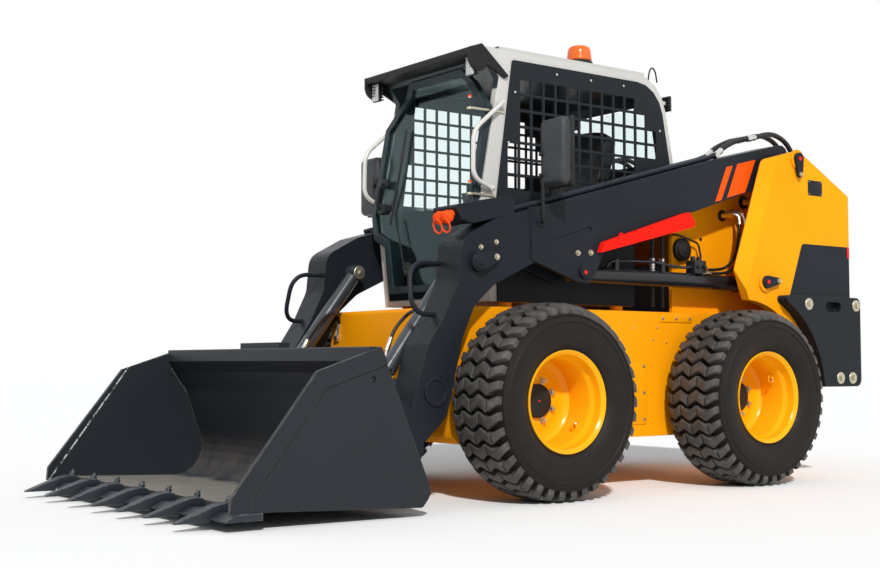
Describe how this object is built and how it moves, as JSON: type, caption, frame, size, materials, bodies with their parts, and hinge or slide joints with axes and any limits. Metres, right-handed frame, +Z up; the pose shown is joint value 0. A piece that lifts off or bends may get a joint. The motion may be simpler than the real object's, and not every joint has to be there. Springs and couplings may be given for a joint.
{
  "type": "skid steer loader",
  "caption": "Compact wheeled loader with radial lift arms, a toothed bucket, an enclosed cab with a front door, and lug-tread tyres that turn on fixed axles.",
  "frame": {"origin": "middle of the bounding box on the ground plane under the tyres", "axes": "+X forward to the bucket, +Y to the machine's left, +Z up"},
  "size_m": [4.16, 1.88, 2.275],
  "materials": {
    "yellow": "gloss",
    "charcoal": "satin",
    "cab_grey": "satin",
    "black": "satin",
    "tyre": "matte",
    "steel": "satin",
    "rod": "polished",
    "glass": "tinted",
    "amber": "gloss",
    "lamp": "gloss",
    "seat": "matte",
    "plastic": "matte",
    "hose": "matte",
    "red": "satin",
    "cast": "matte",
    "orange": "satin",
    "tail": "gloss"
  },
  "bodies": {
    "chassis": {"lower_frame": "yellow", "towers": "yellow", "counterweights": "charcoal", "hood": "yellow", "engine": "cast", "axle_housings": "yellow", "cab_frame": "cab_grey", "side_screens": "black", "rear_window": "glass", "visor": "black", "work_lamps": "lamp", "beacon": "amber", "seat": "seat", "controls": "plastic", "grab_bars": "cab_grey", "door_hinges": "steel", "pivot_pins": "black"},
    "wheel_front_left": {"tyre_front_left": "tyre", "rim_front_left": "yellow"},
    "wheel_front_right": {"tyre_front_right": "tyre", "rim_front_right": "yellow"},
    "wheel_rear_left": {"tyre_rear_left": "tyre", "rim_rear_left": "yellow"},
    "wheel_rear_right": {"tyre_rear_right": "tyre", "rim_rear_right": "yellow"},
    "lift_arms": {"lift_arms": "charcoal", "arm_pins": "steel", "arm_handles": "charcoal", "hose_covers": "charcoal", "arm_pipes": "hose", "hydraulic_couplings": "orange", "arm_lock": "red", "mirrors": "plastic"},
    "lift_barrel_left": {"lift_barrel_left": "charcoal"},
    "lift_rod_left": {"lift_rod_left": "rod"},
    "tilt_barrel_left": {"tilt_barrel_left": "charcoal"},
    "tilt_rod_left": {"tilt_rod_left": "rod"},
    "lift_barrel_right": {"lift_barrel_right": "charcoal"},
    "lift_rod_right": {"lift_rod_right": "rod"},
    "tilt_barrel_right": {"tilt_barrel_right": "charcoal"},
    "tilt_rod_right": {"tilt_rod_right": "rod"},
    "bucket": {"bucket_shell": "charcoal", "cutting_edge": "steel", "bucket_teeth": "steel", "coupler": "charcoal"},
    "cab_door": {"door_frame": "black", "door_glass": "glass"},
    "rear_door": {"rear_door": "black", "tail_lamps": "tail"}
  },
  "joints": [
    {"name": "wheel_front_left_spin", "type": "hinge", "parent": "chassis", "child": "wheel_front_left", "pos_m": [0.195, 0.745, 0.455], "axis": [0, 1, 0], "continuous": true},
    {"name": "wheel_front_right_spin", "type": "hinge", "parent": "chassis", "child": "wheel_front_right", "pos_m": [0.195, -0.745, 0.455], "axis": [0, 1, 0], "continuous": true},
    {"name": "wheel_rear_left_spin", "type": "hinge", "parent": "chassis", "child": "wheel_rear_left", "pos_m": [-1.195, 0.745, 0.455], "axis": [0, 1, 0], "continuous": true},
    {"name": "wheel_rear_right_spin", "type": "hinge", "parent": "chassis", "child": "wheel_rear_right", "pos_m": [-1.195, -0.745, 0.455], "axis": [0, 1, 0], "continuous": true},
    {"name": "lift", "type": "hinge", "parent": "chassis", "child": "lift_arms", "pos_m": [-1.624, 0, 1.746], "axis": [0, -1, 0], "range_deg": [0, 60]},
    {"name": "bucket_tilt", "type": "hinge", "parent": "lift_arms", "child": "bucket", "pos_m": [0.93, 0, 0.285], "axis": [0, 1, 0], "range_deg": [-26, 98]},
    {"name": "lift_barrel_left_swing", "type": "hinge", "parent": "chassis", "child": "lift_barrel_left", "pos_m": [-1.346, 0.5725, 1.061], "axis": [0, -1, 0], "range_deg": [0, 57.45]},
    {"name": "lift_rod_left_slide", "type": "slide", "parent": "lift_barrel_left", "child": "lift_rod_left", "axis": [1, 0, 0.0041], "range_m": [0, 0.7366]},
    {"name": "tilt_barrel_left_swing", "type": "hinge", "parent": "lift_arms", "child": "tilt_barrel_left", "pos_m": [0.485, 0.425, 1.099], "axis": [0, 1, 0], "range_deg": [-0.51, 1.38]},
    {"name": "tilt_rod_left_slide", "type": "slide", "parent": "tilt_barrel_left", "child": "tilt_rod_left", "axis": [0.6083, 0, -0.7937], "range_m": [-0.0609, 0.2268]},
    {"name": "lift_barrel_right_swing", "type": "hinge", "parent": "chassis", "child": "lift_barrel_right", "pos_m": [-1.346, -0.5725, 1.061], "axis": [0, -1, 0], "range_deg": [0, 57.45]},
    {"name": "lift_rod_right_slide", "type": "slide", "parent": "lift_barrel_right", "child": "lift_rod_right", "axis": [1, 0, 0.0041], "range_m": [0, 0.7366]},
    {"name": "tilt_barrel_right_swing", "type": "hinge", "parent": "lift_arms", "child": "tilt_barrel_right", "pos_m": [0.485, -0.425, 1.099], "axis": [0, 1, 0], "range_deg": [-0.51, 1.38]},
    {"name": "tilt_rod_right_slide", "type": "slide", "parent": "tilt_barrel_right", "child": "tilt_rod_right", "axis": [0.6083, 0, -0.7937], "range_m": [-0.0609, 0.2268]},
    {"name": "cab_door_swing", "type": "hinge", "parent": "chassis", "child": "cab_door", "pos_m": [0.393, 0.425, 1.64], "axis": [0, 0, 1], "range_deg": [0, 85]},
    {"name": "rear_door_swing", "type": "hinge", "parent": "chassis", "child": "rear_door", "pos_m": [-2.066, -0.437, 1], "axis": [0, 0, 1], "range_deg": [0, 100]}
  ],
  "couplings": [
    {"joint": "lift_barrel_left_swing", "follows": "lift", "ratio": 0.94916},
    {"joint": "lift_rod_left_slide", "follows": "lift", "m_per_rad": 0.70149},
    {"joint": "tilt_barrel_left_swing", "follows": "bucket_tilt", "ratio": 0.012},
    {"joint": "tilt_rod_left_slide", "follows": "bucket_tilt", "m_per_rad": 0.132},
    {"joint": "lift_barrel_right_swing", "follows": "lift", "ratio": 0.94916},
    {"joint": "lift_rod_right_slide", "follows": "lift", "m_per_rad": 0.70149},
    {"joint": "tilt_barrel_right_swing", "follows": "bucket_tilt", "ratio": 0.012},
    {"joint": "tilt_rod_right_slide", "follows": "bucket_tilt", "m_per_rad": 0.132}
  ]
}
